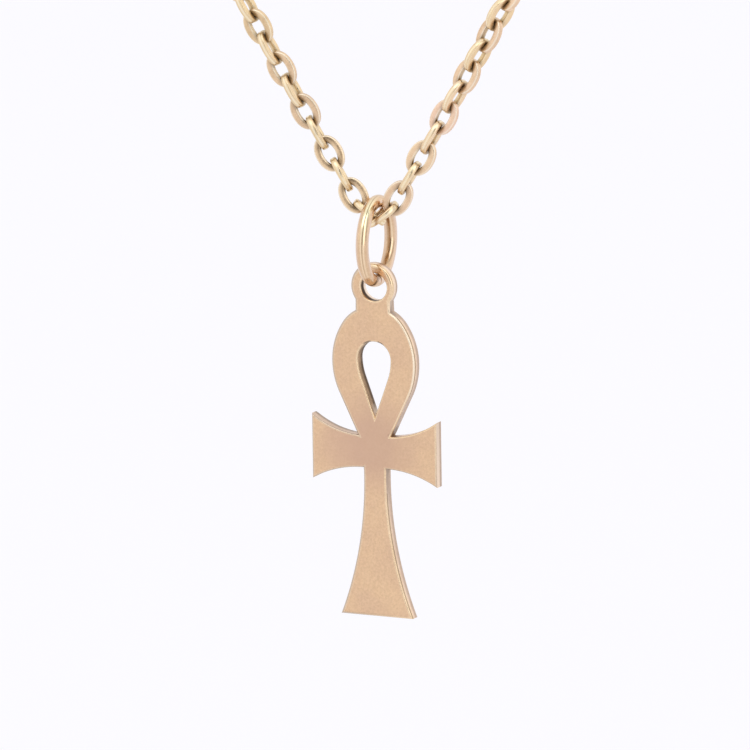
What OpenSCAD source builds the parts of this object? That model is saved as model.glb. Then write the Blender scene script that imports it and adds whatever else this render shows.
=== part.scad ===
// Ankh pendant on a whole trace chain.
// A flat ankh with a pierced eye hangs from a round-wire jump ring, and the ring rides in
// the two lowest links of the necklace. The chain's loop lies in the XZ plane with its
// front towards -Y, and +Z is up. The origin is the point under the clasp where the back
// of the neck, or a hook, bears. All sizes are in millimetres.

/* [Ankh] */
// Thickness of the flat plate
plate_t = 1.05; // [0.8:0.05:1.4]
// Outer radius of the eye at the top
eye_r = 1.86; // [1.6:0.02:2.2]
// Radius of the hole in the eye
eye_hole_r = 1.12; // [1:0.01:1.3]
// How far the hole sits to the right of the eye's centre
eye_hole_off = 0.16; // [0:0.02:0.3]
// Width of the neck between the eye and the loop
neck_w = 3; // [2:0.1:3.4]
// From the eye's centre down to the loop's widest line
loop_drop = 6.1; // [5.5:0.05:7]
// Width of the loop outside
loop_w = 7.22; // [6.8:0.02:8]
// Radius of the loop's crown
crown_r = 3.2; // [2.8:0.05:3.3]
// Radius of the loop's shoulders, above the widest line
shoulder_r = 5.45; // [4.8:0.05:6.5]
// Radius of the loop's cheeks, below the widest line
cheek_r = 5.8; // [4.5:0.1:7]
// Slope of the loop's lower sides, in degrees from upright
cheek_slope = 26; // [22:0.5:30]
// Width of the teardrop hole
drop_w = 2.84; // [2:0.02:3.4]
// How far the teardrop hole sits to the right of the loop's centre
drop_off = 0.1; // [0:0.02:0.2]
// How far the hole's widest line lies above the loop's
drop_rise = 0.3; // [0:0.02:0.6]
// Radius of the hole's sides
drop_side_r = 4.4; // [3:0.1:5]
// Slope of the hole's sides down to its tip, in degrees from upright
drop_slope = 20; // [19:1:25]
// From the loop's widest line down to the middle of the arms
arm_drop = 7; // [6.5:0.05:8]
// Span of the arms from end to end
arm_span = 10.82; // [9:0.02:13]
// Height of an arm at its end
arm_end_h = 5.2; // [3.6:0.1:6]
// Height of an arm at its root
arm_root_h = 2.6; // [1.8:0.1:3]
// How far the arms' roots lie below the middle of their ends
arm_sag = 0.12; // [0:0.02:0.3]
// Width across the roots of the arms, where their flare starts
arm_root_w = 2; // [2:0.1:3]
// From the middle of the arms down to the foot
shaft_len = 13.3; // [10:0.05:18]
// Width of the shaft where it is narrowest
shaft_w = 1.96; // [1.4:0.02:2.2]
// From the middle of the arms down to the shaft's narrowest line
shaft_neck_drop = 2.25; // [1.5:0.05:3]
// Width of the foot
foot_w = 6.24; // [4:0.02:8]

/* [Jump ring] */
// Diameter of the ring's wire
ring_wire = 1.02; // [0.9:0.02:1.1]
// Diameter of the ring, measured at the middle of its wire
ring_d = 6.24; // [5.8:0.02:8]

/* [Chain] */
// Links on each side, from the lowest link to the clasp, an odd number
links_per_side = 117; // [97:2:123]
// Length of a link outside
link_len = 2.97; // [2.9:0.01:3.2]
// Width of a link outside
link_w = 2.06; // [2.02:0.01:2.2]
// Diameter of the link's wire
link_wire = 0.48; // [0.4:0.02:0.5]

/* [Clasp] */
// Diameter of the clasp ring, measured at the middle of its wire
clasp_d = 4.4; // [4:0.1:7]
// Diameter of the clasp's wire
clasp_wire = 0.86; // [0.7:0.02:0.86]
// Diameter of the clasp's thumb knob
knob_d = 1.1; // [0.9:0.05:1.4]
// How far the knob stands out of the clasp ring
knob_h = 0.8; // [0.5:0.05:1.2]

/* [Hang] */
// Half the angle of the chain's V at its lowest point
v_half = 30.6; // [25:0.2:36]
// Half-angle of the chain where its sides run into the nape's arc
nape_half = 15; // [10:1:20]
// Tilt of the two lowest links from upright
hook_tilt = 54; // [50:0.5:60]
// Turn of the jump ring about the vertical, against the chain
ring_turn = -7.8; // [-12:0.2:0]
// Turn of the ankh about the vertical, against the chain
ankh_turn = -12.2; // [-16:0.2:0]
// Lean of the ankh in its own plane
ankh_lean = -0.05; // [-2:0.05:2]

// How far the jump ring's wire bears to the right of the centre of the eye's hole
ring_bears = 0.08; // [0:0.02:0.16]

/* [Clearance] */
// Gap between two links where one hooks the other
link_gap = 0.11; // [0.1:0.01:0.2]
// Gap between the jump ring's wire and the two lowest links
ring_gap = 0.1; // [0.08:0.01:0.2]
// Gap between the jump ring's wire and the top of the eye's hole
eye_gap = 0.06; // [0.05:0.01:0.2]

/* [Hidden] */
$fn = 48;

gold = [0.87, 0.71, 0.53];
chain_gold = [0.84, 0.71, 0.48];
rad = PI / 180;
over = 1;

// Levels of the ankh, above or below the centre of its eye
wide_y = -loop_drop;
arm_y = wide_y - arm_drop;
foot_y = arm_y - shaft_len;

// The crown's circle lies inside the shoulders' circles and touches them
crown_up = sqrt(pow(shoulder_r - crown_r, 2) - pow(shoulder_r - loop_w / 2, 2));
crown_join = crown_up * shoulder_r / (shoulder_r - crown_r);

// Flares of the arms and the shaft are arcs that start square to the cross's middle
arm_reach = arm_span / 2;
arm_flare = (arm_end_h - arm_root_h) / 2;
shaft_flare_r = flare_radius(shaft_len - shaft_neck_drop, (foot_w - shaft_w) / 2);

// A link is a round wire bent into an oval with two straight sides
link_bend_r = (link_w - link_wire) / 2;
link_bar = (link_len - link_w) / 2;
pitch = link_len - 2 * link_wire - link_gap;

// The lowest links cross a little past the centres of their end bends. They stand to
// the front and to the back of the middle plane, so their wires pass each other, and
// the links above them sag a little in their upper bends.
hook_past = 0.28;
hook_sag = 0.06;
hook_side = 0.31;
hook_reach = link_bar + hook_past + pitch / 2;
hook_x = hook_reach * sin(hook_tilt);
hook_z = hook_reach * cos(hook_tilt) - hook_sag;

// One side of the loop: an arc of large radius, then the nape's arc up to the clasp.
// The two radii follow from the chain's length and from where the clasp begins.
clasp_r = clasp_d / 2;
run_len = (links_per_side - 1) * pitch;
run_end_x = clasp_r - pitch / 2 + link_bar;
widen_side = cos(nape_half) - cos(v_half);
turn_side = (v_half - nape_half) * rad;
turn_nape = (nape_half + 90) * rad;
det = widen_side * turn_nape + turn_side * cos(nape_half);
side_r = ((run_end_x - hook_x) * turn_nape + run_len * cos(nape_half)) / det;
nape_r = (widen_side * run_len - turn_side * (run_end_x - hook_x)) / det;
side_run = side_r * turn_side;

// Heights above the crossing of the lowest links
clasp_up = run_z(run_len);
cross_z = clasp_r + clasp_wire / 2 - clasp_up;
ring_r = ring_d / 2;
hook_half_y = link_w / 2 + hook_side;
ring_sag = ring_r - sqrt(ring_r * ring_r - hook_half_y * hook_half_y);
ring_up = (ring_wire / 2 + link_wire / 2 + ring_gap) / sin(hook_tilt) + ring_sag;
ring_z = cross_z + ring_up - ring_r;
hang_z = ring_z - ring_r;
ring_bore_r = ring_r - ring_wire / 2;
bore_sag = ring_bore_r - sqrt(ring_bore_r * ring_bore_r - plate_t * plate_t / 4);
bore_room = eye_hole_r - ring_wire / 2 - bore_sag - eye_gap;
hang_up = sqrt(bore_room * bore_room - ring_bears * ring_bears);

// Twist of the links about their strand, as [link number, degrees]
left_twist = [[0, 11], [2, 14], [4, 8], [6, -2], [10, -12], [26, 0]];
right_twist = [[0, 11], [2, -3], [10, -40], [46, 0]];

// Radius of an arc that leaves its axis square and drifts off it by rise over run
function flare_radius(run, rise) = (run * run + rise * rise) / (2 * rise);

// Direction of a side of the chain at the length s, in degrees from upright
function heading(s) = s < side_run
    ? v_half - s / side_r / rad
    : nape_half - (s - side_run) / nape_r / rad;

// Place of a side of the chain at the length s, from the crossing of the lowest links
function run_x(s) = hook_x + side_r * (cos(max(heading(s), nape_half)) - cos(v_half))
    + nape_r * (cos(min(heading(s), nape_half)) - cos(nape_half));
function run_z(s) = hook_z + side_r * (sin(v_half) - sin(max(heading(s), nape_half)))
    + nape_r * (sin(nape_half) - sin(min(heading(s), nape_half)));

// Overlap of two circles whose outer sides lie half_w to the left and to the right
module lens(r, half_w) {
    intersection_for (side = [-1, 1])
        translate([side * (half_w - r), 0]) circle(r);
}

// Strip from the level y0 up to the level y1
module strip(y0, y1) {
    translate([-loop_w, y0]) square([2 * loop_w, y1 - y0]);
}

// Lower half of a teardrop: two round sides that run into straight ones
module tapered_half(half_w, side_r, slope) {
    join_y = -side_r * sin(slope);
    join_x = half_w - side_r * (1 - cos(slope));
    intersection() {
        lens(side_r, half_w);
        strip(join_y, 0);
    }
    polygon([[-join_x, join_y], [0, join_y - join_x / tan(slope)], [join_x, join_y]]);
}

module loop_outline() {
    tapered_half(loop_w / 2, cheek_r, cheek_slope);
    intersection() {
        lens(shoulder_r, loop_w / 2);
        strip(0, crown_join);
    }
    intersection() {
        translate([0, crown_up]) circle(crown_r);
        strip(crown_join, crown_up + crown_r);
    }
}

module drop_outline() {
    tapered_half(drop_w / 2, drop_side_r, drop_slope);
    circle(drop_w / 2);
}

// Both arms, with concave flares above and below, deeper above
module arms_outline() {
    difference() {
        square([arm_span, arm_end_h], center = true);
        for (x = [-1, 1], y = [-1, 1]) {
            flare_r = flare_radius(arm_reach - arm_root_w / 2, arm_flare + y * arm_sag);
            translate([x * arm_root_w / 2, y * (arm_root_h / 2 + flare_r) - arm_sag])
                circle(flare_r, $fn = 96);
        }
    }
}

module shaft_outline() {
    difference() {
        translate([-foot_w / 2, foot_y]) square([foot_w, shaft_len]);
        for (x = [-1, 1])
            translate([x * (shaft_w / 2 + shaft_flare_r), arm_y - shaft_neck_drop])
                circle(shaft_flare_r, $fn = 360);
    }
}

// Outline of the ankh about the centre of its eye, with x to the right and y up
module ankh_outline() {
    difference() {
        union() {
            circle(eye_r);
            translate([-neck_w / 2, wide_y + crown_join])
                square([neck_w, -wide_y - crown_join]);
            translate([0, wide_y]) loop_outline();
            translate([0, arm_y]) arms_outline();
            shaft_outline();
        }
        translate([drop_off, wide_y + drop_rise]) drop_outline();
    }
}

module ankh() {
    color(gold)
        translate([0, 0, hang_z]) rotate([0, ankh_lean, ankh_turn])
            translate([-eye_hole_off - ring_bears, 0, -hang_up]) rotate([90, 0, 0])
                difference() {
                    linear_extrude(plate_t, center = true) ankh_outline();
                    translate([eye_hole_off, 0, 0])
                        cylinder(r = eye_hole_r, h = plate_t + over, center = true);
                }
}

module jump_ring() {
    color(gold)
        translate([0, 0, ring_z]) rotate([0, 90, ring_turn])
            rotate_extrude() translate([ring_r, 0]) circle(d = ring_wire);
}

// A link in the XZ plane, with its length along Z
module link() {
    for (end = [0, 180])
        rotate([0, end, 0]) {
            translate([0, 0, link_bar]) rotate([90, 0, 0])
                rotate_extrude(angle = 180) translate([link_bend_r, 0]) circle(d = link_wire);
            translate([link_bend_r, 0, -link_bar]) cylinder(d = link_wire, h = 2 * link_bar);
        }
}

// One strand, for side 1 at the right and -1 at the left. Its even links stand edge-on
// and its odd links face the front. It starts off the middle plane and ends in it.
module strand(side, twist) {
    y0 = -side * hook_side;
    translate([side * (link_bar + hook_past) * sin(hook_tilt), y0,
            cross_z + (link_bar + hook_past) * cos(hook_tilt)])
        rotate([0, side * hook_tilt, 0]) rotate([0, 0, 90 + lookup(0, twist)]) link();
    for (i = [1 : links_per_side - 1]) {
        s = (i - 0.5) * pitch;
        edge_on = i % 2 == 0 ? 90 : 0;
        translate([side * run_x(s), y0 * (1 - s / run_len), cross_z + run_z(s)])
            rotate([0, side * heading(s), 0]) rotate([0, 0, edge_on + lookup(i, twist)])
                link();
    }
}

module chain() {
    color(chain_gold) {
        strand(-1, left_twist);
        strand(1, right_twist);
    }
}

// Plain ring clasp in the plane of the loop, with a thumb knob on top
module clasp() {
    color(chain_gold)
        translate([0, 0, cross_z + clasp_up]) {
            rotate([90, 0, 0]) rotate_extrude() translate([clasp_r, 0]) circle(d = clasp_wire);
            translate([0, 0, clasp_r]) cylinder(d = knob_d, h = clasp_wire / 2 + knob_h);
        }
}

chain();
clasp();
jump_ring();
ankh();
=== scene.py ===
import math
import random

import bmesh
import bpy
import numpy as np
from mathutils import Matrix, Vector


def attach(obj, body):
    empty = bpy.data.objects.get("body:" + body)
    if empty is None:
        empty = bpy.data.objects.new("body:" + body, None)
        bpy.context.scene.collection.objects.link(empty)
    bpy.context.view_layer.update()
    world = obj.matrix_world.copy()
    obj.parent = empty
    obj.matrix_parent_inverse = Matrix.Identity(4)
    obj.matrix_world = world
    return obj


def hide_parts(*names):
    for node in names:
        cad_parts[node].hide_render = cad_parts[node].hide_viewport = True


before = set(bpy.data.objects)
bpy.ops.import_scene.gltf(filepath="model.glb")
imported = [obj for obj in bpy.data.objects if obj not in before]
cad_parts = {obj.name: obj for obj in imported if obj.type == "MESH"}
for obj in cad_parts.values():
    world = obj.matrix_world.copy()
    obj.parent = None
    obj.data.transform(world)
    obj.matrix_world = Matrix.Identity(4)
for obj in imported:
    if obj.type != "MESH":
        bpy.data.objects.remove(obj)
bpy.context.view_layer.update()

random.seed(7)
MM = 0.001

# Sizes of the solids, in millimetres and degrees
PLATE_T = 1.05
EYE_R, EYE_HOLE_R, EYE_HOLE_OFF, NECK_W = 1.86, 1.12, 0.16, 3.0
LOOP_DROP, LOOP_W, CROWN_R, SHOULDER_R = 6.1, 7.22, 3.2, 5.45
CHEEK_R, CHEEK_SLOPE = 5.8, 26.0
DROP_W, DROP_OFF, DROP_RISE, DROP_SIDE_R, DROP_SLOPE = 2.84, 0.1, 0.3, 4.4, 20.0
ARM_DROP, ARM_SPAN, ARM_END_H, ARM_ROOT_H, ARM_SAG, ARM_ROOT_W = 7.0, 10.82, 5.2, 2.6, 0.12, 2.0
SHAFT_LEN, SHAFT_W, SHAFT_NECK_DROP, FOOT_W = 13.3, 1.96, 2.25, 6.24
RING_WIRE, RING_D = 1.02, 6.24
LINKS_PER_SIDE, LINK_LEN, LINK_W, LINK_WIRE = 117, 2.97, 2.06, 0.48
CLASP_D, CLASP_WIRE, KNOB_D, KNOB_H = 4.4, 0.86, 1.1, 0.8
V_HALF, NAPE_HALF, HOOK_TILT = 30.6, 15.0, 54.0
RING_TURN, ANKH_TURN, ANKH_LEAN, RING_BEARS = -7.8, -12.2, -0.05, 0.08
LINK_GAP, RING_GAP, EYE_GAP = 0.11, 0.1, 0.06
HOOK_PAST, HOOK_SAG, HOOK_SIDE = 0.28, 0.06, 0.31
LEFT_TWIST = ((0, 11), (2, 14), (4, 8), (6, -2), (10, -12), (26, 0))
RIGHT_TWIST = ((0, 11), (2, -3), (10, -40), (46, 0))

# Looks of the pieces, in millimetres and degrees
EDGE_ROUND, LEFT_ROUND, EYE_ROUND = 0.13, 0.26, 0.28
EDGE_LINE, EDGE_LIP, LEAST_STEP = 0.13, 0.14, 0.02
ROUND_STEPS = (0, 15, 30, 45, 60, 75, 90)
EYE_LOW, NO_TOP, NO_BOTTOM = -0.9, 9, -99
DARK_LINE_TOP, DARK_LINE_ARM_GAP, DARK_LINE_SHAFT_GAP, DARK_LINE_FACING = -2.4, 1.6, 3.5, 0.3
LINK_T, LINK_END_W, LINK_SIDE_W = 0.53, 0.5, 0.6
LINK_OVAL, LINK_SQUARE, LINK_STEPS = 2.1, 3.8, 36
LINK_SECTION = (0, 20, 36, 45, 54, 70, 90, 110, 126, 135, 144,
                180, 216, 225, 234, 250, 270, 290, 306, 315, 324, 340)
LINK_ROLL, LINK_LEAN = 3, 0.8
CONTACT_SHADE_REACH, CONTACT_SHADE_FADE = 0.46, 1.1
RING_AROUND, SECTION_STEP = 288, 6
RING_NEAR, RING_FAR, RING_SPREAD = 270, 90, 62
LINE_AT, LINE_HALF, LINE_TINT_HALF, LINE_DEPTH, LINE_REACH = 18, 2.6, 3.4, 0.012, 6
GROOVE_AT, GROOVE_HALF, GROOVE_DEPTH = -7, 0.9, 0.06
CLASP_AROUND, KNOB_AROUND = 96, 24
# The knob's profile: shares of its radius, and how far below its top
KNOB_PROFILE = ((0.62, 0.7), (0.8, 0.55), (1.0, 0.42), (1.0, 0.12), (0.9, 0.03), (0.7, 0),
                (0.0, 0))

# Points along each arc of the ankh's outlines
EYE_STEPS, CROWN_STEPS, CHEEK_STEPS, ARM_STEPS, SHAFT_STEPS = 36, 22, 18, 26, 44
HOLE_STEPS, DROP_SIDE_STEPS, DROP_TOP_STEPS = 72, 14, 40
# The ankh's three outlines, the kinds of its faces, and the rows of points over its edge
OUTER, EYE, DROP = range(3)
FACE, SIDE, WALL, EDGE, DARK_LINE = range(5)
LAST_ROUND = len(ROUND_STEPS) - 1
MIDDLE_ROW = LAST_ROUND + 3


def sin(d):
    return math.sin(math.radians(d))


def cos(d):
    return math.cos(math.radians(d))


def arc_radius(run, rise):
    return (run * run + rise * rise) / (2 * rise)


# The chain's run and the heights that hang on it, worked out as in the solids
link_bend_r = (LINK_W - LINK_WIRE) / 2
link_bar = (LINK_LEN - LINK_W) / 2
pitch = LINK_LEN - 2 * LINK_WIRE - LINK_GAP
hook_reach = link_bar + HOOK_PAST + pitch / 2
hook_x = hook_reach * sin(HOOK_TILT)
hook_z = hook_reach * cos(HOOK_TILT) - HOOK_SAG
clasp_r = CLASP_D / 2
run_len = (LINKS_PER_SIDE - 1) * pitch
run_end_x = clasp_r - pitch / 2 + link_bar
widen_side = cos(NAPE_HALF) - cos(V_HALF)
turn_side = math.radians(V_HALF - NAPE_HALF)
turn_nape = math.radians(NAPE_HALF + 90)
det = widen_side * turn_nape + turn_side * cos(NAPE_HALF)
side_r = ((run_end_x - hook_x) * turn_nape + run_len * cos(NAPE_HALF)) / det
nape_r = (widen_side * run_len - turn_side * (run_end_x - hook_x)) / det
side_run = side_r * turn_side


def heading(s):
    if s < side_run:
        return V_HALF - math.degrees(s / side_r)
    return NAPE_HALF - math.degrees((s - side_run) / nape_r)


def run_point(s):
    low, high = max(heading(s), NAPE_HALF), min(heading(s), NAPE_HALF)
    x = hook_x + side_r * (cos(low) - cos(V_HALF)) + nape_r * (cos(high) - cos(NAPE_HALF))
    z = hook_z + side_r * (sin(V_HALF) - sin(low)) + nape_r * (sin(NAPE_HALF) - sin(high))
    return x, z


clasp_up = run_point(run_len)[1]
cross_z = clasp_r + CLASP_WIRE / 2 - clasp_up
ring_r = RING_D / 2
hook_half_y = LINK_W / 2 + HOOK_SIDE
ring_up = (RING_WIRE / 2 + LINK_WIRE / 2 + RING_GAP) / sin(HOOK_TILT)
ring_up += ring_r - math.sqrt(ring_r ** 2 - hook_half_y ** 2)
ring_z = cross_z + ring_up - ring_r
hang_z = ring_z - ring_r
ring_bore_r = ring_r - RING_WIRE / 2
bore_sag = ring_bore_r - math.sqrt(ring_bore_r ** 2 - PLATE_T ** 2 / 4)
hang_up = math.sqrt((EYE_HOLE_R - RING_WIRE / 2 - bore_sag - EYE_GAP) ** 2 - RING_BEARS ** 2)


def turn(axis, degrees):
    return Matrix.Rotation(math.radians(degrees), 4, axis)


def move(x, y, z):
    return Matrix.Translation((x, y, z))


def twist_at(i, table):
    return float(np.interp(i, [row[0] for row in table], [row[1] for row in table]))


def placed(points, matrix):
    m = np.array(matrix)
    return np.asarray(points) @ m[:3, :3].T + m[:3, 3]


def set_values(obj, name, values):
    """Values of the mesh's points, which a material's layer reads."""
    held = obj.data.attributes.new(name, "FLOAT", "POINT")
    held.data.foreach_set("value", np.asarray(values, dtype=np.float32))


def add_mesh(name, points, faces, body, materials, indexes=None, smooth_angle=None):
    """A piece from points in millimetres, riding on its body."""
    mesh = bpy.data.meshes.new(name)
    mesh.from_pydata([tuple(p) for p in np.asarray(points) * MM], [], faces)
    mesh.update()
    obj = bpy.data.objects.new(name, mesh)
    bpy.context.scene.collection.objects.link(obj)
    for material in materials:
        mesh.materials.append(material)
    if indexes is not None:
        mesh.polygons.foreach_set("material_index", indexes)
    # the quads are smooth, and the triangles of the flat faces stay flat
    mesh.polygons.foreach_set("use_smooth", [len(p.vertices) == 4 for p in mesh.polygons])
    if smooth_angle is not None:
        mesh.set_sharp_from_angle(angle=math.radians(smooth_angle))
    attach(obj, body)
    return obj


# ---- materials
# Scales of the noises in a gold, per millimetre, and depths of its bumps, in millimetres
SPECKLE_SCALE, WEAR_SCALE, ROUGH_SCALE, DENT_SCALE = 5.5, 3.0, 2.3, 1.4
GRAIN_DEPTH, DENT_DEPTH = 0.02, 0.05
SCRATCH_STRETCH = (1.2, 1.2, 26)
SPECKLE_STOPS = ((0.3, (0.82, 0.8, 0.78)), (0.7, (1.0, 1.0, 1.0)))
# The part of a spot's radius that has its full strength
SPOT_CORE = 0.35


def node_tree(name):
    material = bpy.data.materials.new(name)
    material.use_nodes = True
    nodes, links = material.node_tree.nodes, material.node_tree.links
    return material, nodes, links, nodes["Principled BSDF"]


def noise(nodes, links, source, scale, detail, rough=0.55):
    n = nodes.new("ShaderNodeTexNoise")
    n.inputs["Scale"].default_value = scale
    n.inputs["Detail"].default_value = detail
    n.inputs["Roughness"].default_value = rough
    links.new(source, n.inputs["Vector"])
    return n.outputs["Fac"]


def ramp(nodes, links, source, stops):
    r = nodes.new("ShaderNodeValToRGB")
    for i, (place, colour) in enumerate(stops):
        e = r.color_ramp.elements[i] if i < 2 else r.color_ramp.elements.new(place)
        e.position = place
        e.color = (*colour, 1)
    links.new(source, r.inputs["Fac"])
    return r.outputs["Color"]


def map_range(nodes, links, source, a, b, c, d):
    m = nodes.new("ShaderNodeMapRange")
    for key, value in zip(("From Min", "From Max", "To Min", "To Max"), (a, b, c, d)):
        m.inputs[key].default_value = value
    links.new(source, m.inputs["Value"])
    return m.outputs["Result"]


def multiply(nodes, links, source, factor):
    m = nodes.new("ShaderNodeMath")
    m.operation = "MULTIPLY"
    links.new(source, m.inputs[0])
    if isinstance(factor, (int, float)):
        m.inputs[1].default_value = factor
    else:
        links.new(factor, m.inputs[1])
    return m.outputs[0]


def mix_colour(nodes, links, fac, a, b, kind="MIX"):
    m = nodes.new("ShaderNodeMix")
    m.data_type = "RGBA"
    m.blend_type = kind
    # a mix node keeps its sockets for colours at 6 and 7
    for key, value in ((0, fac), (6, a), (7, b)):
        if isinstance(value, (int, float)):
            m.inputs[key].default_value = value
        elif isinstance(value, tuple):
            m.inputs[key].default_value = (*value, 1)
        else:
            links.new(value, m.inputs[key])
    return m.outputs[2]


def bump(nodes, links, height, strength, distance, normal=None):
    b = nodes.new("ShaderNodeBump")
    b.inputs["Strength"].default_value = strength
    b.inputs["Distance"].default_value = distance * MM
    links.new(height, b.inputs["Height"])
    if normal is not None:
        links.new(normal, b.inputs["Normal"])
    return b.outputs["Normal"]


def place_mm(nodes, links, stretch=(1, 1, 1)):
    """Object coordinates in millimetres."""
    c = nodes.new("ShaderNodeTexCoord")
    m = nodes.new("ShaderNodeMapping")
    m.inputs["Scale"].default_value = tuple(s / MM for s in stretch)
    links.new(c.outputs["Object"], m.inputs["Vector"])
    return m.outputs["Vector"]


def spot(nodes, links, centre, radius):
    """1 at a point of the object, given in millimetres, fading to 0 at the radius."""
    d = nodes.new("ShaderNodeVectorMath")
    d.operation = "DISTANCE"
    d.inputs[1].default_value = centre
    links.new(place_mm(nodes, links), d.inputs[0])
    return map_range(nodes, links, d.outputs["Value"], radius, radius * SPOT_CORE, 0, 1)


def gold(name, light, dark, rough, grain, grain_size=14.0, scratch=0.0, patch=0.5, spots=(),
         layers=()):
    """Gold with a mottled tone, a fine grain and, where asked, polishing lines and tinted spots,
    some of which are painted shade. Layers lay a tint where the mesh's own values of that name are
    high, evenly or broken up by a noise; most layers are painted light or shade: painted
    highlights, painted reflections and painted shade.
    broken up by wear."""
    material, nodes, links, shader = node_tree(name)
    shader.inputs["Metallic"].default_value = 1.0
    at = place_mm(nodes, links)
    tone = ramp(nodes, links, noise(nodes, links, at, patch, 5), ((0.32, dark), (0.68, light)))
    speckle = ramp(nodes, links, noise(nodes, links, at, SPECKLE_SCALE, 4, 0.7), SPECKLE_STOPS)
    colour = mix_colour(nodes, links, 1.0, tone, speckle, "MULTIPLY")
    for centre, radius, strength, tint in spots:
        fac = multiply(nodes, links, spot(nodes, links, centre, radius), strength)
        colour = mix_colour(nodes, links, fac, colour, tint)
    for layer, tint, even in layers:
        held = nodes.new("ShaderNodeAttribute")
        held.attribute_name = layer
        patchy = map_range(nodes, links, noise(nodes, links, at, WEAR_SCALE, 3), 0.3, 0.6, even, 1)
        fac = multiply(nodes, links, held.outputs["Fac"], patchy)
        colour = mix_colour(nodes, links, fac, colour, tint)
    links.new(colour, shader.inputs["Base Color"])
    rough_at = noise(nodes, links, at, ROUGH_SCALE, 4)
    links.new(map_range(nodes, links, rough_at, 0.3, 0.7, rough[0], rough[1]),
              shader.inputs["Roughness"])
    grains = noise(nodes, links, at, grain_size, 3, 0.6)
    normal = bump(nodes, links, grains, grain, GRAIN_DEPTH)
    dents = noise(nodes, links, at, DENT_SCALE, 3)
    normal = bump(nodes, links, dents, grain * 0.5, DENT_DEPTH, normal)
    if scratch:
        lines = noise(nodes, links, place_mm(nodes, links, SCRATCH_STRETCH), 1.0, 4, 0.7)
        normal = bump(nodes, links, lines, scratch, GRAIN_DEPTH, normal)
    links.new(normal, shader.inputs["Normal"])
    return material


# ---- the ankh
def arc(cx, cy, r, a0, a1, n):
    t = np.radians(np.linspace(a0, a1, n))
    return [(cx + r * math.cos(a), cy + r * math.sin(a)) for a in t]


def angle_of(x, y):
    return math.degrees(math.atan2(y, x))


wide_y = -LOOP_DROP
arm_y = wide_y - ARM_DROP
tip_y = wide_y + DROP_RISE - DROP_SIDE_R * sin(DROP_SLOPE)
tip_y -= (DROP_W / 2 - DROP_SIDE_R * (1 - cos(DROP_SLOPE))) / math.tan(math.radians(DROP_SLOPE))


def tapered_side(half_w, side_radius, slope, n):
    """Right side of a teardrop's lower half, from its widest point down to its straight part."""
    return arc(half_w - side_radius, 0, side_radius, 0, -slope, n)


def right_outline():
    """Right half of the ankh's outline, from the top of the eye down to the middle of the foot."""
    half_neck = NECK_W / 2
    neck_at = angle_of(half_neck, -math.sqrt(EYE_R ** 2 - half_neck ** 2))
    points = arc(0, 0, EYE_R, 90, neck_at, EYE_STEPS)
    crown_up = math.sqrt((SHOULDER_R - CROWN_R) ** 2 - (SHOULDER_R - LOOP_W / 2) ** 2)
    crown_y = wide_y + crown_up
    join = crown_up * SHOULDER_R / (SHOULDER_R - CROWN_R)
    start = angle_of(half_neck, math.sqrt(CROWN_R ** 2 - half_neck ** 2))
    end = math.degrees(math.asin((join - crown_up) / CROWN_R))
    points += arc(0, crown_y, CROWN_R, start, end, CROWN_STEPS)
    shoulder_x = LOOP_W / 2 - SHOULDER_R
    start = math.degrees(math.asin(join / SHOULDER_R))
    points += arc(shoulder_x, wide_y, SHOULDER_R, start, 0, CROWN_STEPS)[1:]
    cheek = tapered_side(LOOP_W / 2, CHEEK_R, CHEEK_SLOPE, CHEEK_STEPS)
    cheek = [(x, y + wide_y) for x, y in cheek]
    points += cheek[1:]
    reach, root = ARM_SPAN / 2, ARM_ROOT_W / 2
    flare = (ARM_END_H - ARM_ROOT_H) / 2
    upper_r = arc_radius(reach - root, flare + ARM_SAG)
    lower_r = arc_radius(reach - root, flare - ARM_SAG)
    upper_y = arm_y + ARM_ROOT_H / 2 + upper_r - ARM_SAG
    lower_y = arm_y - ARM_ROOT_H / 2 - lower_r - ARM_SAG
    # where the loop's straight side meets the upper flare, found by halving
    (x0, y0), slope = cheek[-1], math.tan(math.radians(CHEEK_SLOPE))
    low, high = arm_y, y0
    for _ in range(50):
        y = (low + high) / 2
        x = x0 - (y0 - y) * slope
        inside = x > root and upper_y - math.sqrt(upper_r ** 2 - (x - root) ** 2) > y
        low, high = (y, high) if inside or y < arm_y + ARM_ROOT_H / 2 - ARM_SAG else (low, y)
    a_top = angle_of(x - root, y - upper_y)
    a_end = angle_of(reach - root, arm_y + ARM_END_H / 2 - upper_y)
    points += arc(root, upper_y, upper_r, a_top, a_end, ARM_STEPS)
    a_end = angle_of(reach - root, arm_y - ARM_END_H / 2 - lower_y)
    points += arc(root, lower_y, lower_r, a_end, 90, ARM_STEPS)
    run = SHAFT_LEN - SHAFT_NECK_DROP
    shaft_r = arc_radius(run, (FOOT_W - SHAFT_W) / 2)
    shaft_y = arm_y - SHAFT_NECK_DROP
    up = lower_y + lower_r - shaft_y
    a0 = 180 - math.degrees(math.asin(up / shaft_r))
    a1 = 180 + math.degrees(math.asin(run / shaft_r))
    points += arc(SHAFT_W / 2 + shaft_r, shaft_y, shaft_r, a0, a1, SHAFT_STEPS)
    return points


def drop_points():
    """The teardrop hole's outline, anticlockwise."""
    half = DROP_W / 2
    side = tapered_side(half, DROP_SIDE_R, DROP_SLOPE, DROP_SIDE_STEPS)
    end_x, end_y = side[-1]
    tip = (0, end_y - end_x / math.tan(math.radians(DROP_SLOPE)))
    right = side[1:] + [(end_x * (1 - f), end_y + (tip[1] - end_y) * f) for f in (0.33, 0.66)]
    left = [(-x, y) for x, y in right]
    top = arc(0, 0, half, 0, 180, DROP_TOP_STEPS)
    loop = top + left + [tip] + right[::-1]
    return [(x + DROP_OFF, y + wide_y + DROP_RISE) for x, y in loop]


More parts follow.
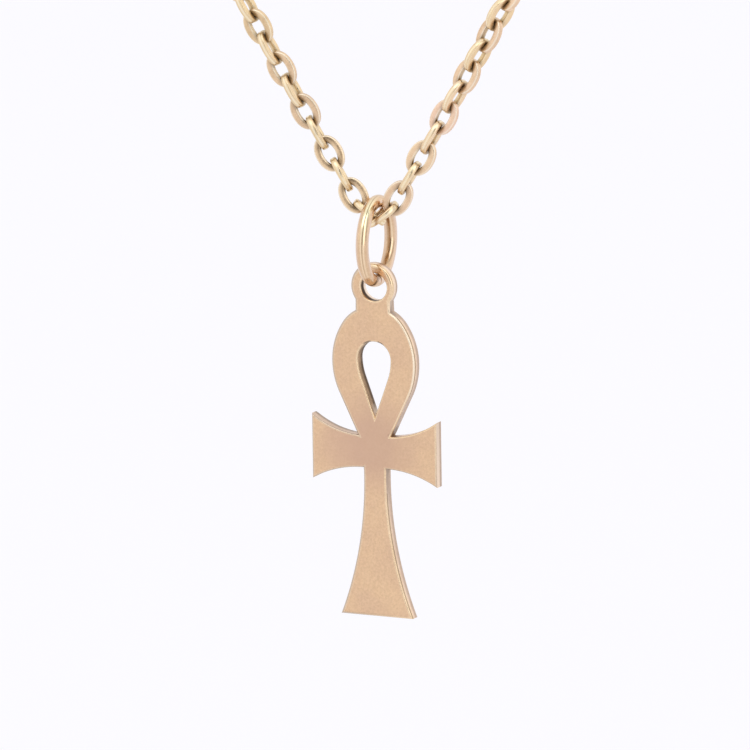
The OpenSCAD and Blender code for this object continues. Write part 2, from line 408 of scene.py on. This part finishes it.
def inward(loop):
    """The way to the metal from each point of an outline, mitred at its corners."""
    p = np.array(loop)
    before, after = p - np.roll(p, 1, 0), np.roll(p, -1, 0) - p
    before /= np.linalg.norm(before, axis=1)[:, None]
    after /= np.linalg.norm(after, axis=1)[:, None]
    n0 = np.stack([-before[:, 1], before[:, 0]], 1)
    n1 = np.stack([-after[:, 1], after[:, 0]], 1)
    n = n0 + n1
    return n / np.maximum((n * n0).sum(1), 0.25)[:, None]


def within(value, low, high, soft):
    """1 inside a range, fading to 0 over the soft reach beyond it."""
    return np.clip(1 - np.maximum(np.maximum(low - value, value - high), 0) / soft, 0, 1)


def edge_round(number, x, y, out_x):
    """How far each point of an outline is rounded over."""
    if number != OUTER:
        return np.full(len(x), EDGE_ROUND)
    eye = within(y, EYE_LOW, NO_TOP, 0.5)
    left = np.clip(-out_x, 0, 1) * (x < 0) * (1 - eye)
    return EDGE_ROUND + (EYE_ROUND - EDGE_ROUND) * eye + (LEFT_ROUND - EDGE_ROUND) * left


def has_dark_line(x, y, out_x):
    """Where a fine dark line is painted beside the outline, as painted shade: the right of the
    loop and of the shaft.
    """
    loop = (y < DARK_LINE_TOP) & (y > arm_y + DARK_LINE_ARM_GAP)
    shaft = y < arm_y - DARK_LINE_SHAFT_GAP
    return (x > 0) & (x < ARM_SPAN / 2 - 0.1) & (out_x > DARK_LINE_FACING) & (loop | shaft)


def outline_looks(number, x, y, out_x, out_y, row, share):
    """What a row of an outline's points shows, each from 0 to 1: painted shade where edges and
    walls face away from the light, dark for painted shade and painted nicks, and pale for painted
    highlights and painted light. Rows run from the front face over its edge, down the wall and
    round to the back."""
    zero = np.zeros(len(x))
    if number == EYE:
        # the eye's wall: painted shade on its front half, painted light on its back half
        dark = 1.0 - 0.35 * np.clip(-out_y, 0, 1)
        if row < LAST_ROUND or row > MIDDLE_ROW:
            return zero, zero, zero + (row > MIDDLE_ROW)
        return zero, dark * (0.7 if row == MIDDLE_ROW else 1.0), zero
    if number == DROP:
        # the teardrop's top edge: its nicks are painted as dark marks, their shade painted rather
        # than cut
        top = within(y, wide_y + DROP_RISE + 1.2, NO_TOP, 0.12)
        nick = top * np.maximum(within(x, -0.75, -0.2, 0.06), within(x, 0.45, 0.9, 0.06))
        if row < LAST_ROUND:
            return zero, 0.8 * nick, zero
        # the teardrop's wall: painted light near its tip, painted shade elsewhere, deepest on its
        # back half
        fill = 0.9 * within(y, NO_BOTTOM, tip_y + 0.7, 0.2)
        dark = (0.1, 0.35, 0.85)[(row >= MIDDLE_ROW) + (row > MIDDLE_ROW)]
        return zero, dark * (1 - fill), fill
    right = x > 0
    # painted shade on the edges that face left or down and on the left arm's top
    left_top = (x < -1.5) & (out_y > 0.5) & (y > arm_y)
    painted_shade = np.clip(-out_x * 1.6, 0, 1) * (x < 0) + np.clip((-out_y - 0.6) * 2.5, 0, 1)
    painted_shade = np.clip(painted_shade + left_top, 0, 1)
    if row < LAST_ROUND:
        # a painted highlight along the rounded right edge of the loop
        glint = right * (out_x > 0.3) * within(y, arm_y + 3.0, -2.2, 0.5) * (share < 0.9)
        glint *= 0.4 + 0.4 * within(y, wide_y - 0.5, NO_TOP, 2.5)
        return painted_shade * (1 - share) ** 0.6, zero, glint
    # the back half of the wall and its back edge: painted shade
    if row > MIDDLE_ROW:
        return np.maximum(painted_shade, 0.6), zero, zero
    # the right wall: painted shade at the neck, the cheek and the upper shaft
    neck = within(y, -2.1, -1.0, 0.5) * 0.95
    cheek = np.clip((wide_y - 1.0 - y) / 2.2, 0, 1) * (y > arm_y + 1.0) * (out_x > 0.3) * 0.7
    shaft = np.clip(1 - (arm_y - 1.5 - y) / 4.5, 0.1, 1) * (y < arm_y - 1.0) * (x < 2.5)
    wall = np.maximum(np.maximum(neck, cheek), shaft) * right
    # painted light on the arm's right end and on the wall beside the eye
    arm_end = right * (x > ARM_SPAN / 2 - 0.12)
    pale = arm_end * 0.5 + 0.5 * right * within(y, EYE_LOW, NO_TOP, 0.5)
    return np.maximum(wall, 0.35 * left_top), zero, pale


def ankh_mesh():
    """The plate's points, faces and material numbers, and the values that its looks read."""
    right = right_outline()
    outer = right + [(-x, y) for x, y in right[::-1] if x > 1e-9]
    outer = outer[::-1]
    eye = arc(EYE_HOLE_OFF, 0, EYE_HOLE_R, 360, 0, HOLE_STEPS + 1)[:-1]
    drop = drop_points()[::-1]
    front = [(1 - sin(a), 1 - cos(a), 0) for a in ROUND_STEPS]
    front += [(0, 1, EDGE_LINE), (0, 1, EDGE_LINE + EDGE_LIP)]
    rows = 2 * len(front) + 1
    points, looks, faces, indexes, rims = [], [], [], [], []
    for number, loop in enumerate((outer, eye, drop)):
        first, n = sum(len(p) for p in points), len(loop)
        p, way = np.array(loop), inward(loop)
        (x, y), (out_x, out_y) = p.T, -way.T / np.linalg.norm(way, axis=1)
        size = edge_round(number, x, y, out_x)
        dark_line = has_dark_line(x, y, out_x) if number == OUTER else np.zeros(n, bool)
        for row in range(rows):
            side = min(row, rows - 1 - row)
            share, deep, line = front[side] if side < len(front) else (0, 1, PLATE_T)
            height = np.maximum(PLATE_T / 2 - deep * size - line, LEAST_STEP * (len(front) - side))
            height = height * np.sign(len(front) - row)
            moved = p + way * (share * size)[:, None]
            points.append(np.stack([moved[:, 0], -height, moved[:, 1]], 1))
            looks.append(np.stack(outline_looks(number, x, y, out_x, out_y, row, share), 1))
        for row in range(rows - 1):
            rounded = row < LAST_ROUND or row >= rows - 1 - LAST_ROUND
            for i in range(n):
                j = (i + 1) % n
                a, b = first + row * n + i, first + row * n + j
                faces.append((a, a + n, b + n, b))
                kind = EDGE if rounded else (SIDE if number == OUTER else WALL)
                # a painted shade line on the wall just behind the right edge, with a bright edge
                # strip after it
                if dark_line[i] and row in (LAST_ROUND, LAST_ROUND + 1):
                    kind = DARK_LINE if row == LAST_ROUND else EDGE
                indexes.append(kind)
        rims.append((first, n))
    points, looks = np.concatenate(points), np.concatenate(looks)
    for is_front in (True, False):
        bm = bmesh.new()
        edges, number_of = [], {}
        for first, n in rims:
            start = first if is_front else first + (rows - 1) * n
            vs = [bm.verts.new((points[start + i][0], points[start + i][2], 0)) for i in range(n)]
            number_of.update((v, start + i) for i, v in enumerate(vs))
            edges += [bm.edges.new((vs[i], vs[(i + 1) % n])) for i in range(n)]
        bmesh.ops.triangle_fill(bm, edges=edges, use_beauty=True, use_dissolve=False)
        for f in bm.faces:
            order = [number_of[v] for v in f.verts]
            if (f.normal.z > 0) != is_front:
                order.reverse()
            faces.append(tuple(order))
            indexes.append(FACE)
        bm.free()
    return points, faces, indexes, looks


ankh_place = (move(0, 0, hang_z) @ turn("Z", ANKH_TURN) @ turn("Y", ANKH_LEAN)
              @ move(-EYE_HOLE_OFF - RING_BEARS, 0, -hang_up))


def on_ankh(x, y, depth=-PLATE_T / 2):
    """A point of the ankh's own face, in millimetres of the row frame."""
    return tuple(ankh_place @ Vector((x, depth, y)))


# painted shade for the inner corners where the arms meet the shaft
CORNER_SHADE = (0.1, 0.055, 0.02)
# painted shade on the side walls at those corners
corner_spots = (
    (on_ankh(1.6, arm_y + 1.6, 0), 0.62, 0.9, CORNER_SHADE),
    (on_ankh(-1.5, arm_y + 1.3), 0.2, 0.7, CORNER_SHADE),
    (on_ankh(1.1, arm_y - 1.4, 0), 0.5, 0.6, CORNER_SHADE),
)
# painted shade in the face's inner corners, and a darker, pinker middle of the face
face_spots = (
    (on_ankh(1.32, arm_y + 1.33), 0.16, 0.8, CORNER_SHADE),
    (on_ankh(-1.45, arm_y + 1.25), 0.16, 0.6, CORNER_SHADE),
    (on_ankh(-0.2, arm_y + 0.6), 4.4, 0.8, (0.63, 0.42, 0.3)),
    (on_ankh(-2.6, arm_y + 0.4), 3.4, 0.35, (0.66, 0.44, 0.32)),
)
# One gold in several tones: the side wall and the rounded edges are painted lighter, as painted
# light and painted highlight, and the hole walls are darker, partly for their sawn finish and
# partly as painted shade. Their layers paint more shade and light.
ankh_face = gold("ankh_face_gold", (0.86, 0.61, 0.388), (0.8, 0.56, 0.372), (0.4, 0.5), 0.12,
                 spots=face_spots)
ankh_side = gold("ankh_side_gold", (0.9, 0.68, 0.52), (0.82, 0.6, 0.45), (0.3, 0.42), 0.08,
                 scratch=0.1, spots=corner_spots,
                 layers=(("painted_shade", (0.36, 0.27, 0.2), 0.75), ("pale", (1.0, 0.83, 0.64), 0.9)))
ankh_wall = gold("ankh_sawn_and_shaded_gold", (0.58, 0.39, 0.235), (0.34, 0.225, 0.125), (0.4, 0.6), 0.35,
                 grain_size=6.0, scratch=0.3, patch=1.6,
                 layers=(("dark", (0.06, 0.035, 0.02), 0.8), ("pale", (0.98, 0.86, 0.74), 1.0)))
ankh_edge = gold("ankh_edge_gold", (0.95, 0.74, 0.5), (0.88, 0.66, 0.43), (0.16, 0.26), 0.05,
                 spots=corner_spots[:1],
                 layers=(("painted_shade", (0.47, 0.38, 0.32), 0.9), ("dark", (0.16, 0.12, 0.1), 0.7),
                         ("pale", (1.0, 0.87, 0.68), 1.0)))
# the dark line painted beside the right edges: painted shade
ankh_dark_line = gold("ankh_dark_line_gold", (0.42, 0.28, 0.17), (0.3, 0.19, 0.12), (0.35, 0.5), 0.1)
points, faces, indexes, looks = ankh_mesh()
ankh = add_mesh("ankh_plate", placed(points, ankh_place), faces, "pendant",
                [ankh_face, ankh_side, ankh_wall, ankh_edge, ankh_dark_line], indexes, 40)
# the painted shade, painted light and painted nicks that the ankh's golds read
for name, values in zip(("painted_shade", "dark", "pale"), looks.T):
    set_values(ankh, name, values)
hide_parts("ankh")


# ---- the jump ring
def bell(angle, middle, half_width):
    """1 at the middle angle, falling off smoothly on both sides of it."""
    off = (angle - middle + 180) % 360 - 180
    return math.exp(-(off / half_width) ** 2)


def torus(radius, wire, around, section, drawn=False):
    """A ring in the XY plane. Drawn wire has a fine line along it, left by the drawing plate,
    and a thin groove across it where the ring was closed."""
    points, faces, across = [], [], len(section)
    for i in range(around):
        a = 360 * i / around
        r = wire / 2
        if drawn:
            r -= GROOVE_DEPTH * bell(a, GROOVE_AT, GROOVE_HALF)
        for b in section:
            dip = LINE_DEPTH * bell(b, LINE_AT, LINE_HALF) if drawn else 0.0
            reach = radius + (r - dip) * cos(b)
            points.append((reach * cos(a), reach * sin(a), (r - dip) * sin(b)))
    for i in range(around):
        for j in range(across):
            k, m = (i + 1) % around, (j + 1) % across
            faces.append((i * across + j, k * across + j, k * across + m, i * across + m))
    return points, faces


def ring_looks(a, b):
    """What the ring shows at an angle round it and across its wire, each from 0 to 1: painted
    shade on its inner side, pale painted reflections at its edges, painted highlights where it
    shines and gleams, and a dark line along the drawn line, partly its own colour and partly a
    painted reflection. Round it 0 is its bottom, 90 its far side, 180 its top and 270 its near
    side."""
    near, far = bell(a, RING_NEAR, RING_SPREAD), bell(a, RING_FAR, RING_SPREAD)
    inner = bell(b, 180, 42) * (1 - far) + 1.1 * bell(b, 174, 24) * far
    pale = 0.7 * bell(b, 95, 24) + 0.7 * bell(b, -50, 22) * near + 0.4 * bell(b, 208, 14) * far
    shine = 0.75 * (bell(b, LINE_AT - 12, 7) + bell(b, LINE_AT + 13, 7)) * near
    shine += 0.8 * bell(b, 149, 7) * far
    gleam = bell(a, 222, 26) * (bell(b, LINE_AT - 11, 13) + bell(b, LINE_AT + 14, 13))
    line = bell(b, LINE_AT, LINE_TINT_HALF) * bell(a, 238, 50)
    return inner, pale, min(shine, 1.0), min(gleam, 1.0), line


# the ring's layers: inner is painted shade, pale a painted reflection, shine and gleam painted
# highlights, line partly the drawn line's own colour and partly a painted reflection
ring_gold = gold("ring_polished_gold", (0.82, 0.59, 0.38), (0.76, 0.53, 0.335), (0.14, 0.22), 0.03,
                 layers=(("inner", (0.44, 0.26, 0.13), 0.75), ("pale", (0.84, 0.67, 0.56), 0.85),
                         ("shine", (1.0, 0.82, 0.57), 0.8), ("gleam", (1.0, 0.93, 0.62), 0.95),
                         ("line", (0.17, 0.1, 0.045), 0.95)))
# the angles across the wire, closer together by the drawn line
fine = {(LINE_AT + d / 2) % 360 for d in range(-2 * LINE_REACH, 2 * LINE_REACH + 1, 3)}
coarse = {b for b in range(0, 360, SECTION_STEP) if abs(b - LINE_AT) > LINE_REACH}
section = sorted(fine | coarse)
points, faces = torus(ring_r, RING_WIRE, RING_AROUND, section, drawn=True)
ring_place = move(0, 0, ring_z) @ turn("Z", RING_TURN) @ turn("Y", 90)
ring = add_mesh("jump_ring_wire", placed(points, ring_place), faces, "ring",
                [ring_gold])
looks = np.array([ring_looks(360 * i / RING_AROUND, b)
                  for i in range(RING_AROUND) for b in section])
for name, values in zip(("inner", "pale", "shine", "gleam", "line"), looks.T):
    set_values(ring, name, values)
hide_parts("jump_ring")


# ---- the chain
def squarish(a, power):
    """A point at an angle on a rounded shape: a circle at power 2, a square past 5."""
    c, s = cos(a), sin(a)
    return math.copysign(abs(c) ** (2 / power), c), math.copysign(abs(s) ** (2 / power), s)


def link_mesh():
    """A link in the XZ plane, long along Z, of flattened wire, and the middle line of its wire."""
    half_x, half_z = link_bend_r, link_bar + link_bend_r
    section = [squarish(a, LINK_SQUARE) for a in LINK_SECTION]
    line, points = [], []
    for k in range(LINK_STEPS):
        x, z = squarish(360 * k / LINK_STEPS, LINK_OVAL)
        nx = math.copysign(abs(x) ** (LINK_OVAL - 1), x) / half_x
        nz = math.copysign(abs(z) ** (LINK_OVAL - 1), z) / half_z
        size = math.hypot(nx, nz)
        nx, nz = nx / size, nz / size
        line.append((x * half_x, 0, z * half_z))
        half_w = (LINK_END_W + (LINK_SIDE_W - LINK_END_W) * abs(nx)) / 2
        for u, v in section:
            out = u * half_w
            points.append((x * half_x + out * nx, v * LINK_T / 2, z * half_z + out * nz))
    n, m, faces = len(line), len(section), []
    for i in range(n):
        for j in range(m):
            k, q = (i + 1) % n, (j + 1) % m
            faces.append((i * m + j, i * m + q, k * m + q, k * m + j))
    return np.array(points), np.array(faces), np.array(line)


def strand_places(side, table):
    """Where each link of one side goes, from the lowest link to the clasp."""
    y0 = -side * HOOK_SIDE
    reach = link_bar + HOOK_PAST
    places = []
    for i in range(LINKS_PER_SIDE):
        x, y, z, tilt = reach * sin(HOOK_TILT), y0, reach * cos(HOOK_TILT), HOOK_TILT
        if i:
            s = (i - 0.5) * pitch
            (x, z), tilt = run_point(s), heading(s)
            y = y0 * (1 - s / run_len)
        roll = (90 if i % 2 == 0 else 0) + twist_at(i, table)
        if i > 1:
            roll += random.uniform(-LINK_ROLL, LINK_ROLL)
            tilt += random.uniform(-LINK_LEAN, LINK_LEAN)
        places.append(move(side * x, y, cross_z + z) @ turn("Y", side * tilt) @ turn("Z", roll))
    return places


def contact_shade_near(points, others):
    """How much painted shade a point gets: 1 where another wire touches, 0 beyond its reach."""
    gaps = np.sqrt(((points[:, None] - others[None]) ** 2).sum(2)).min(1) - LINK_WIRE / 2
    return np.clip(1 - gaps / CONTACT_SHADE_REACH, 0, 1) ** CONTACT_SHADE_FADE


def band(half_width, *middles):
    """How strongly each point across a link's wire shows bands at these angles. 0 is the
    link's outer side and 180 its inner side."""
    return np.array([sum(bell(b, middle, half_width) for middle in middles)
                     for b in LINK_SECTION])


shape, quads, line = link_mesh()
ring_line = placed([(ring_r * cos(a), ring_r * sin(a), 0) for a in range(0, 360, 3)], ring_place)
# the chain's layers: rose is a random tone, inner and contact_shade are painted shade, shine is a
# painted highlight, warm a yellower tint, partly painted light
chain_gold = gold("chain_satin_gold", (0.85, 0.625, 0.385), (0.63, 0.445, 0.255), (0.24, 0.36),
                  0.08, patch=0.9,
                  layers=(("rose", (0.88, 0.62, 0.475), 0.5), ("inner", (0.34, 0.225, 0.1), 0.85),
                          ("shine", (1.0, 0.96, 0.82), 0.95), ("warm", (0.92, 0.72, 0.4), 0.5),
                          ("contact_shade", (0.08, 0.05, 0.02), 0.75)))
corner_band, middle_band = band(16, 45, 135, 225, 315), band(11, 0)
inner_band, flank_band = 0.8 * band(34, 180), 0.52 * band(11, 28, 332)
# The links that stand edge on get a stronger painted highlight and a yellower tint than the ones
# between them, with a painted highlight along the middle of their outer side and painted shade
# beside it; the tint is partly the links' own tone and partly painted light
on_edge = [i % 2 == 0 for i in range(LINKS_PER_SIDE)]
bands = {True: (middle_band + 0.5 * corner_band, inner_band + flank_band),
         False: (corner_band, inner_band)}
runs = {side: strand_places(side, table) for side, table in ((-1, LEFT_TWIST), (1, RIGHT_TWIST))}
for name, side in (("chain_left", -1), ("chain_right", 1)):
    places = runs[side]
    points, faces, contact_shade = [], [], []
    for i, place in enumerate(places):
        near = [placed(line, places[k]) for k in (i - 1, i + 1) if 0 <= k < len(places)]
        near += [ring_line, placed(line, runs[-side][0])] if i == 0 else []
        faces.append(quads + len(points) * len(shape))
        points.append(placed(shape, place))
        # painted shade where the neighbouring links and the ring touch
        contact_shade.append(contact_shade_near(points[-1], np.concatenate(near)))
    strand = add_mesh(name, np.concatenate(points), np.concatenate(faces).tolist(), "necklace",
                      [chain_gold], smooth_angle=60)
    set_values(strand, "contact_shade", np.concatenate(contact_shade))
    # how much painted highlight and yellower tint each link gets, at random, more on the edge-on
    # links
    sheen_and_tone = [random.uniform(0.7, 1) if edge else random.uniform(0.05, 0.5) for edge in on_edge]
    shine = [np.tile(bands[edge][0] * (0.6 + 0.4 * r), LINK_STEPS)
             for edge, r in zip(on_edge, sheen_and_tone)]
    # painted shade on the inner side of each link, and beside the middle line of the edge-on links
    inner = [np.tile(bands[edge][1], LINK_STEPS) for edge in on_edge]
    set_values(strand, "shine", np.concatenate(shine))
    set_values(strand, "inner", np.concatenate(inner))
    # a yellower tint, partly the links' own tone and partly painted light
    set_values(strand, "warm", np.repeat(0.7 * np.array(sheen_and_tone), len(shape)))
    # the right strand is the rosier one
    rose = [random.uniform(0.5, 1) if side > 0 else random.uniform(0, 0.4) for _ in places]
    set_values(strand, "rose", np.repeat(rose, len(shape)))
    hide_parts("chain")


# ---- the clasp
def clasp_mesh():
    """The clasp's ring with its thumb knob on top."""
    points, faces = torus(clasp_r, CLASP_WIRE, CLASP_AROUND, range(0, 360, 15))
    points = [(x, -z, y) for x, y, z in points]
    first, around = len(points), KNOB_AROUND
    top = clasp_r + CLASP_WIRE / 2 + KNOB_H
    # the knob's stem starts inside the ring's wire
    profile = [(KNOB_PROFILE[0][0], clasp_r)]
    profile += [(share, top - below) for share, below in KNOB_PROFILE]
    for share, z in profile:
        for j in range(around):
            a = 360 * j / around
            points.append((share * KNOB_D / 2 * cos(a), share * KNOB_D / 2 * sin(a), z))
    for i in range(len(profile) - 1):
        for j in range(around):
            k = (j + 1) % around
            a, b = first + i * around, first + (i + 1) * around
            faces.append((a + j, a + k, b + k, b + j))
    return points, faces


clasp_gold = gold("clasp_polished_gold", (0.8, 0.61, 0.39), (0.72, 0.53, 0.32), (0.14, 0.26), 0.04)
points, faces = clasp_mesh()
clasp = add_mesh("clasp_ring", placed(points, move(0, 0, cross_z + clasp_up)), faces, "necklace",
                 [clasp_gold], smooth_angle=50)
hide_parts("clasp")


# ---- floor, light and camera
FLOOR_Z, FLOOR_SIZE, FLOOR_PARTS = -0.245, 8, 8
FLOOR_COLOUR, GLOW_COLOUR, GLOW = (0.2, 0.2, 0.2), (0.952, 0.944, 1.0, 1), 0.753


def floor_material(name):
    """A matt pale floor, faintly mottled, that glows a little so that it renders near white."""
    material, nodes, links, shader = node_tree(name)
    at = place_mm(nodes, links)
    tone = ramp(nodes, links, noise(nodes, links, at, 0.02, 3),
                ((0.3, FLOOR_COLOUR), (0.7, tuple(min(1.0, c * 1.01) for c in FLOOR_COLOUR))))
    links.new(tone, shader.inputs["Base Color"])
    shader.inputs["Roughness"].default_value = 0.9
    shader.inputs["Emission Color"].default_value = GLOW_COLOUR
    shader.inputs["Emission Strength"].default_value = GLOW
    return material


bpy.ops.mesh.primitive_grid_add(x_subdivisions=FLOOR_PARTS, y_subdivisions=FLOOR_PARTS,
                                size=FLOOR_SIZE, location=(0, 0, FLOOR_Z))
floor = bpy.context.object
floor.name = "floor"
floor.data.materials.append(floor_material("floor_pale"))

# Where the camera stands, in degrees and metres, and what its picture shows, in pixels
AZIMUTH, ELEVATION, ROLL, DISTANCE = 13.5, 11.6, 0.8, 1.5
PICTURE, PX_PER_MM, RING_PX, RING_PY = 750, 12.77, 376.5, 240.8
SENSOR = 36
right = Vector((cos(AZIMUTH), sin(AZIMUTH), 0))
up = Vector((-sin(AZIMUTH) * sin(ELEVATION), cos(AZIMUTH) * sin(ELEVATION), cos(ELEVATION)))
back = right.cross(up)
right, up = right * cos(ROLL) - up * sin(ROLL), up * cos(ROLL) + right * sin(ROLL)
centre = Vector((0, 0, ring_z)) * MM
aim = centre - right * (RING_PX - PICTURE / 2) / PX_PER_MM * MM
aim += up * (RING_PY - PICTURE / 2) / PX_PER_MM * MM
camera_data = bpy.data.cameras.new("camera")
camera_data.sensor_width = SENSOR
camera_data.lens = SENSOR * DISTANCE / (PICTURE / PX_PER_MM * MM)
camera_data.clip_start, camera_data.clip_end = 0.01, 50
camera = bpy.data.objects.new("camera", camera_data)
bpy.context.scene.collection.objects.link(camera)
camera.location = aim + back * DISTANCE
camera.rotation_euler = Matrix((right, up, back)).transposed().to_euler()
bpy.context.scene.camera = camera


LIGHTS_AIM = (0, 0, -0.19)


def softbox(name, azimuth, elevation, distance, width, height, radiance, colour):
    """A soft light aimed near the ankh. Azimuth 0 is in front of it, 90 at its right."""
    data = bpy.data.lights.new(name, "AREA")
    data.shape = "RECTANGLE"
    data.size, data.size_y = width, height
    data.energy = radiance * width * height * math.pi
    data.color = colour
    light = bpy.data.objects.new(name, data)
    bpy.context.scene.collection.objects.link(light)
    out = Vector((sin(azimuth) * cos(elevation), -cos(azimuth) * cos(elevation), sin(elevation)))
    light.location = Vector(LIGHTS_AIM) + out * distance
    light.rotation_euler = out.to_track_quat("Z", "Y").to_euler()


softbox("key", 44, 18, 1.2, 0.55, 1.1, 0.6, (1.0, 0.99, 0.96))
softbox("fill", -62, 24, 1.2, 0.8, 0.9, 0.2, (0.98, 0.99, 1.0))
softbox("top", 4, 62, 1.2, 1.3, 0.7, 0.9, (1.0, 0.99, 0.95))

# A white studio tent, open in a narrow slit where the camera looks in: azimuths and brightness
SLIT_HALF, SLIT_SOFT = 7.0, 2.5
TENT = ((-180, 0.98), (-120, 1.05), (-60, 0.92), (-30, 0.98),
        (AZIMUTH - SLIT_HALF - SLIT_SOFT, 1.08), (AZIMUTH - SLIT_HALF, 0.05),
        (AZIMUTH + SLIT_HALF, 0.05), (AZIMUTH + SLIT_HALF + SLIT_SOFT, 1.05),
        (64, 1.0), (70, 0.6), (82, 0.6), (92, 1.1), (150, 1.15), (180, 0.98))
TENT_TINT = (0.985, 0.98, 1.0)
world = bpy.data.worlds.new("studio")
world.use_nodes = True
nodes, links = world.node_tree.nodes, world.node_tree.links
axes = nodes.new("ShaderNodeSeparateXYZ")
links.new(nodes.new("ShaderNodeTexCoord").outputs["Generated"], axes.inputs[0])
front = multiply(nodes, links, axes.outputs["Y"], -1)
around = nodes.new("ShaderNodeMath")
around.operation = "ARCTAN2"
links.new(axes.outputs["X"], around.inputs[0])
links.new(front, around.inputs[1])
place = map_range(nodes, links, around.outputs[0], -math.pi, math.pi, 0, 1)
tent = ramp(nodes, links, place,
            [(a / 360 + 0.5, tuple(v * t for t in TENT_TINT)) for a, v in TENT])
links.new(tent, nodes["Background"].inputs["Color"])
bpy.context.scene.world = world
bpy.context.scene.view_settings.view_transform = "Standard"

bpy.context.view_layer.update()
